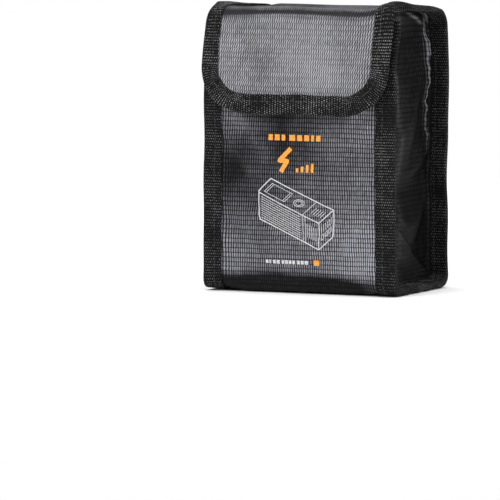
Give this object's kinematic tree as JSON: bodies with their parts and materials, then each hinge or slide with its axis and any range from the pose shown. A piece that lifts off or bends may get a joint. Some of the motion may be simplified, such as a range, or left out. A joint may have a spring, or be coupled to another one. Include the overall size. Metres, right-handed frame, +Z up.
{
  "type": "battery safe bag",
  "caption": "Upright fabric bag for rechargeable battery packs, with recessed side gussets, bound seams, a centre divider, dust flaps and a fold-over hook-and-loop lid.",
  "frame": {"origin": "middle of the bag's outer box at floor level", "axes": "+Z up, -Y towards the front with the closed flap, +X towards the right-hand side as seen from the front"},
  "size_m": [0.104, 0.076, 0.145],
  "materials": {
    "coated_fabric": "glossy coated ribbed weave, near black with grey highlights",
    "edge_tape": "matt black ribbed grosgrain tape",
    "lining": "white-grey woven fire-resistant cloth, soft sheen",
    "hook_loop": "black hook-and-loop pile"
  },
  "bodies": {
    "bag": {"body_wrap": "coated_fabric", "body_lining": "lining", "gusset_left": "coated_fabric", "gusset_right": "coated_fabric", "gusset_lining_left": "lining", "gusset_lining_right": "lining", "side_binding_left": "edge_tape", "side_binding_right": "edge_tape", "mouth_binding": "edge_tape", "loop_strip": "hook_loop", "divider": "lining"},
    "lid_top": {"lid_top_panel": "coated_fabric", "lid_top_lining": "lining", "lid_top_binding_left": "edge_tape", "lid_top_binding_right": "edge_tape"},
    "lid_front": {"flap_panel": "coated_fabric", "flap_lining": "lining", "flap_binding": "edge_tape", "hook_strip": "hook_loop"},
    "dust_left": {"dust_flap_panel_left": "coated_fabric", "dust_flap_lining_left": "lining", "dust_flap_binding_left": "edge_tape"},
    "dust_right": {"dust_flap_panel_right": "coated_fabric", "dust_flap_lining_right": "lining", "dust_flap_binding_right": "edge_tape"}
  },
  "joints": [
    {"name": "lid_fold", "type": "hinge", "parent": "bag", "child": "lid_top", "pos_m": [0, 0.03621, 0.14321], "axis": [-1, 0, 0], "range_deg": [0, 200]},
    {"name": "flap_fold", "type": "hinge", "parent": "lid_top", "child": "lid_front", "pos_m": [0, -0.03572, 0.14272], "axis": [-1, 0, 0], "range_deg": [0, 180]},
    {"name": "dust_fold_left", "type": "hinge", "parent": "bag", "child": "dust_left", "pos_m": [-0.0417, 0.00245, 0.1396], "axis": [0, -1, 0], "range_deg": [0, 160]},
    {"name": "dust_fold_right", "type": "hinge", "parent": "bag", "child": "dust_right", "pos_m": [0.0417, 0.00245, 0.1396], "axis": [0, 1, 0], "range_deg": [0, 160]}
  ],
  "couplings": [
    {"joint": "dust_fold_left", "follows": "lid_fold", "ratio": 0.8},
    {"joint": "dust_fold_right", "follows": "lid_fold", "ratio": 0.8}
  ]
}
